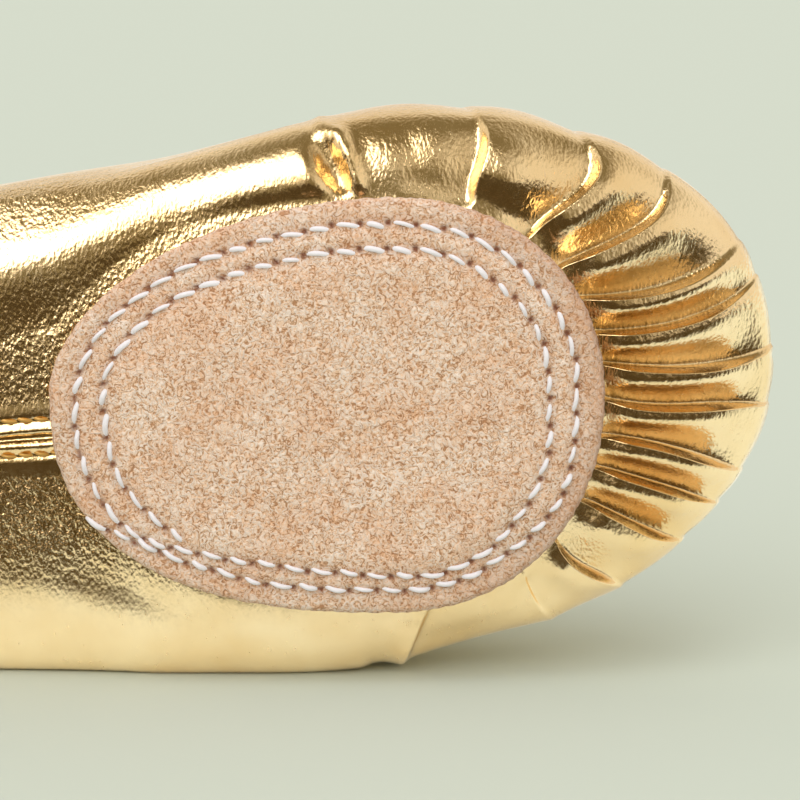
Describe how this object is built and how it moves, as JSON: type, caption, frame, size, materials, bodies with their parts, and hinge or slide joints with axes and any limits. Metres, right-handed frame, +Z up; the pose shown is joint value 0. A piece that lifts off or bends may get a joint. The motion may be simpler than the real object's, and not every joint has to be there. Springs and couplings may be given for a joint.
{
  "type": "ballet slipper",
  "caption": "Soft split-sole ballet slipper in metallic gold leather with gathered pleats round the toe, suede forefoot and heel pads and a bound collar, lying on its outer side",
  "frame": {"origin": "on the flat of the outer side that the shoe lies on, halfway along the shoe and 20 mm over the bearing plane of the pads", "axes": "+X from heel to toe, -Y out of the sole, +Z up from the floor to the shoe's inner side"},
  "size_m": [0.2325, 0.0549, 0.0808],
  "materials": {
    "gold_leather": "crinkled metallic gold foil on soft leather",
    "suede": "napped peach tan suede",
    "insole_leather": "smooth natural lining leather",
    "gold_tape": "woven gold cotton tape"
  },
  "bodies": {
    "root": {"upper": "gold_leather", "forefoot_sole": "suede", "heel_sole": "suede", "insole": "insole_leather", "collar_binding": "gold_tape"}
  },
  "joints": []
}
